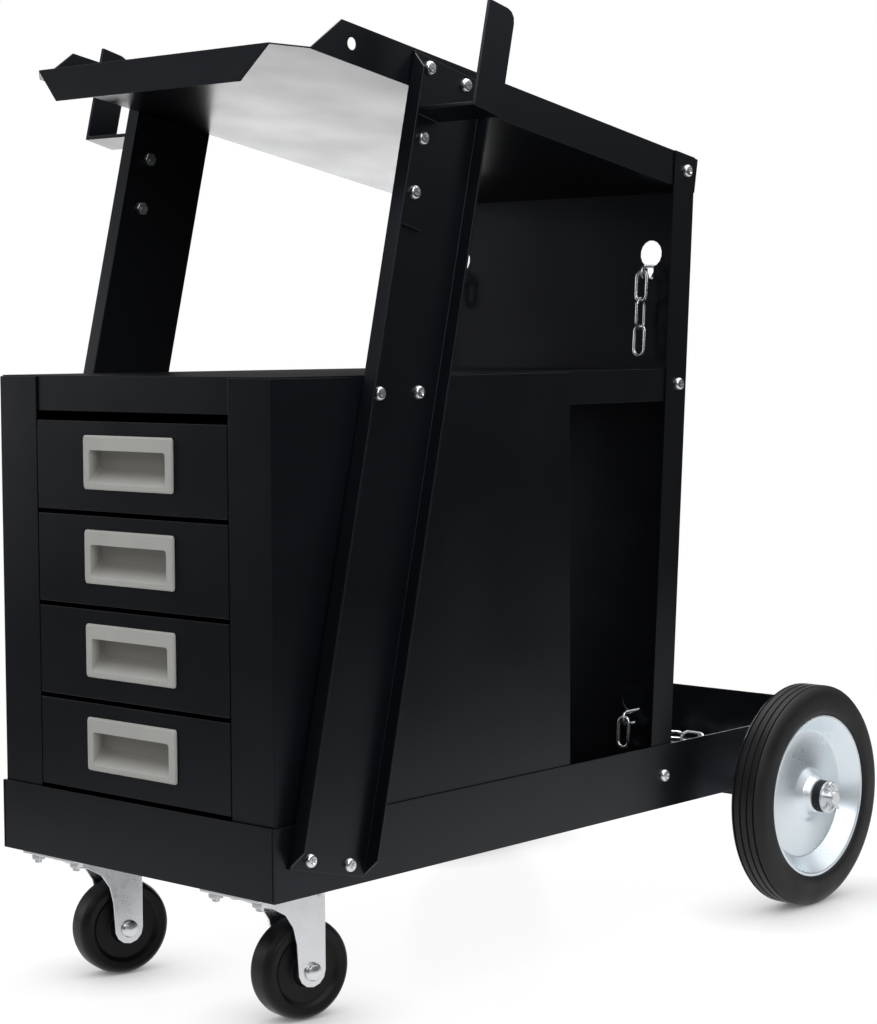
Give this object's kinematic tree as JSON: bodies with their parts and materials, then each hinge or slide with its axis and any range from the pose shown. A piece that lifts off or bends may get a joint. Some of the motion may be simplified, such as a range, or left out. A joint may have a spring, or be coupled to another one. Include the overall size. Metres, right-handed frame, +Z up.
{
  "type": "welding cart",
  "caption": "Black steel welding cart with a drawer cabinet, open shelf, sloping top tray, cable hooks, chained gas bottle tray, swivel casters and large rear wheels.",
  "frame": {"origin": "on the floor, under the middle of the cart's bounding box", "axes": "+Z up, -Y out of the drawer fronts, +Y towards the bottle tray, +X to the cart's right when pushed drawers first"},
  "size_m": [0.45, 0.766, 0.7497],
  "materials": {
    "black_paint": "semi-gloss black powder coat on folded sheet steel",
    "zinc_plate": "bright zinc plate on screws, chain, axle and caster steel",
    "zinc_rim": "bright zinc plate on a pressed wheel rim",
    "zinc_runner": "plain zinc coated sheet of the drawer runners",
    "grey_plastic": "light grey moulded plastic with a fine texture",
    "tyre_rubber": "solid black rubber tyre with ribbed tread",
    "caster_rubber": "hard black caster wheel"
  },
  "bodies": {
    "frame": {"base_tray": "black_paint", "left_side_panel": "black_paint", "right_side_panel": "black_paint", "cabinet_back": "black_paint", "mid_shelf": "black_paint", "rear_panel": "black_paint", "left_post": "black_paint", "right_post": "black_paint", "top_tray": "black_paint", "left_hook": "black_paint", "right_hook": "black_paint", "axle_clamp": "black_paint", "rear_axle": "zinc_plate", "left_caster_plate": "zinc_plate", "right_caster_plate": "zinc_plate", "left_runner_rack": "zinc_runner", "right_runner_rack": "zinc_runner", "upper_chain": "zinc_plate", "lower_chain": "zinc_plate", "right_screw_post_foot_front": "zinc_plate", "right_screw_post_foot_rear": "zinc_plate", "right_screw_post_shelf_front": "zinc_plate", "right_screw_post_shelf_rear": "zinc_plate", "right_screw_post_top_front": "zinc_plate", "right_screw_post_top_rear": "zinc_plate", "right_screw_hook_lower": "zinc_plate", "right_screw_hook_upper": "zinc_plate", "right_screw_panel_foot": "zinc_plate", "right_screw_panel_shelf": "zinc_plate", "right_screw_panel_top": "zinc_plate", "left_screw_post_foot_front": "zinc_plate", "left_screw_post_foot_rear": "zinc_plate", "left_screw_post_shelf_front": "zinc_plate", "left_screw_post_shelf_rear": "zinc_plate", "left_screw_post_top_front": "zinc_plate", "left_screw_post_top_rear": "zinc_plate", "left_screw_hook_lower": "zinc_plate", "left_screw_hook_upper": "zinc_plate", "left_screw_panel_foot": "zinc_plate", "left_screw_panel_shelf": "zinc_plate", "left_screw_panel_top": "zinc_plate"},
    "drawer_1_body": {"drawer_1": "black_paint", "drawer_pull_1": "grey_plastic"},
    "drawer_2_body": {"drawer_2": "black_paint", "drawer_pull_2": "grey_plastic"},
    "drawer_3_body": {"drawer_3": "black_paint", "drawer_pull_3": "grey_plastic"},
    "drawer_4_body": {"drawer_4": "black_paint", "drawer_pull_4": "grey_plastic"},
    "left_caster_swivel": {"left_caster_fork": "zinc_plate", "left_caster_axle": "zinc_plate"},
    "left_caster_roller": {"left_caster_wheel": "caster_rubber"},
    "left_rear_wheel": {"left_wheel_rim": "zinc_rim", "left_wheel_tyre": "tyre_rubber"},
    "right_caster_swivel": {"right_caster_fork": "zinc_plate", "right_caster_axle": "zinc_plate"},
    "right_caster_roller": {"right_caster_wheel": "caster_rubber"},
    "right_rear_wheel": {"right_wheel_rim": "zinc_rim", "right_wheel_tyre": "tyre_rubber"}
  },
  "joints": [
    {"name": "drawer_1_slide", "type": "slide", "parent": "frame", "child": "drawer_1_body", "axis": [0, -1, 0], "range_m": [0, 0.23]},
    {"name": "drawer_2_slide", "type": "slide", "parent": "frame", "child": "drawer_2_body", "axis": [0, -1, 0], "range_m": [0, 0.23]},
    {"name": "drawer_3_slide", "type": "slide", "parent": "frame", "child": "drawer_3_body", "axis": [0, -1, 0], "range_m": [0, 0.23]},
    {"name": "drawer_4_slide", "type": "slide", "parent": "frame", "child": "drawer_4_body", "axis": [0, -1, 0], "range_m": [0, 0.23]},
    {"name": "left_caster_turn", "type": "hinge", "parent": "frame", "child": "left_caster_swivel", "pos_m": [-0.102, -0.34, 0.096], "axis": [0, 0, 1], "continuous": true},
    {"name": "left_caster_roll", "type": "hinge", "parent": "left_caster_swivel", "child": "left_caster_roller", "pos_m": [-0.09456, -0.31405, 0.038], "axis": [0.9613, -0.2756, 0], "continuous": true},
    {"name": "left_wheel_roll", "type": "hinge", "parent": "frame", "child": "left_rear_wheel", "pos_m": [-0.1925, 0.2395, 0.098], "axis": [1, 0, 0], "continuous": true},
    {"name": "right_caster_turn", "type": "hinge", "parent": "frame", "child": "right_caster_swivel", "pos_m": [0.102, -0.34, 0.096], "axis": [0, 0, 1], "continuous": true},
    {"name": "right_caster_roll", "type": "hinge", "parent": "right_caster_swivel", "child": "right_caster_roller", "pos_m": [0.10715, -0.3135, 0.038], "axis": [0.9816, -0.1908, 0], "continuous": true},
    {"name": "right_wheel_roll", "type": "hinge", "parent": "frame", "child": "right_rear_wheel", "pos_m": [0.1925, 0.2395, 0.098], "axis": [1, 0, 0], "continuous": true}
  ]
}
